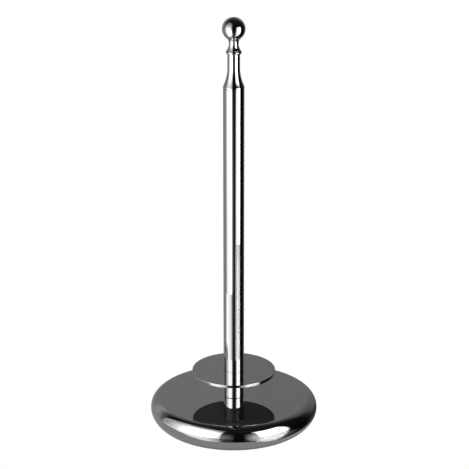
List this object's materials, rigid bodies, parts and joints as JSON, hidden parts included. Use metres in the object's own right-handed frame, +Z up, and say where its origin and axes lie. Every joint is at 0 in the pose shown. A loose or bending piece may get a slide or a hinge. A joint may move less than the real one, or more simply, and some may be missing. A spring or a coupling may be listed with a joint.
{
  "type": "paper towel holder",
  "caption": "Free-standing chrome paper towel holder: heavy round base, raised turning disc, slim tube post and screw-on ball finial.",
  "frame": {"origin": "centre of the underside, on the surface that the holder stands on", "axes": "+Z up along the post; -Y is the side that faces the viewer"},
  "size_m": [0.156, 0.156, 0.3866],
  "materials": {
    "chrome": "mirror chrome plate",
    "cast_iron": "rough casting with black paint",
    "zinc_steel": "bright zinc plate",
    "nylon": "natural nylon",
    "rubber": "black moulded rubber"
  },
  "bodies": {
    "stand": {"base_shell": "chrome", "base_weight": "cast_iron", "bottom_plate": "zinc_steel", "plate_screw_1": "zinc_steel", "plate_screw_2": "zinc_steel", "plate_screw_3": "zinc_steel", "foot_1": "rubber", "foot_2": "rubber", "foot_3": "rubber", "foot_4": "rubber", "tie_rod": "zinc_steel", "rod_washer": "zinc_steel", "lock_washer": "zinc_steel", "rod_nut": "zinc_steel", "spacer_tube": "chrome", "spacer_lower_bush": "zinc_steel", "spacer_upper_bush": "zinc_steel", "lower_thrust_washer": "nylon", "disc_sleeve": "zinc_steel", "upper_thrust_washer": "nylon", "main_tube": "chrome", "tube_lower_bush": "zinc_steel", "tube_upper_bush": "zinc_steel"},
    "turntable": {"roll_disc": "chrome"},
    "finial_slip_washer": {"finial_washer": "nylon"},
    "finial_knob": {"finial": "chrome"}
  },
  "joints": [
    {"name": "disc_turn", "type": "hinge", "parent": "stand", "child": "turntable", "pos_m": [0, 0, 0.0534], "axis": [0, 0, 1], "continuous": true},
    {"name": "finial_lift", "type": "slide", "parent": "stand", "child": "finial_slip_washer", "axis": [0, 0, 1], "range_m": [0, 0.012]},
    {"name": "finial_turn", "type": "hinge", "parent": "finial_slip_washer", "child": "finial_knob", "pos_m": [0, 0, 0.3237], "axis": [0, 0, 1], "range_deg": [0, 4320]}
  ],
  "couplings": [
    {"joint": "finial_turn", "follows": "finial_lift", "rad_per_m": 6283.2}
  ]
}
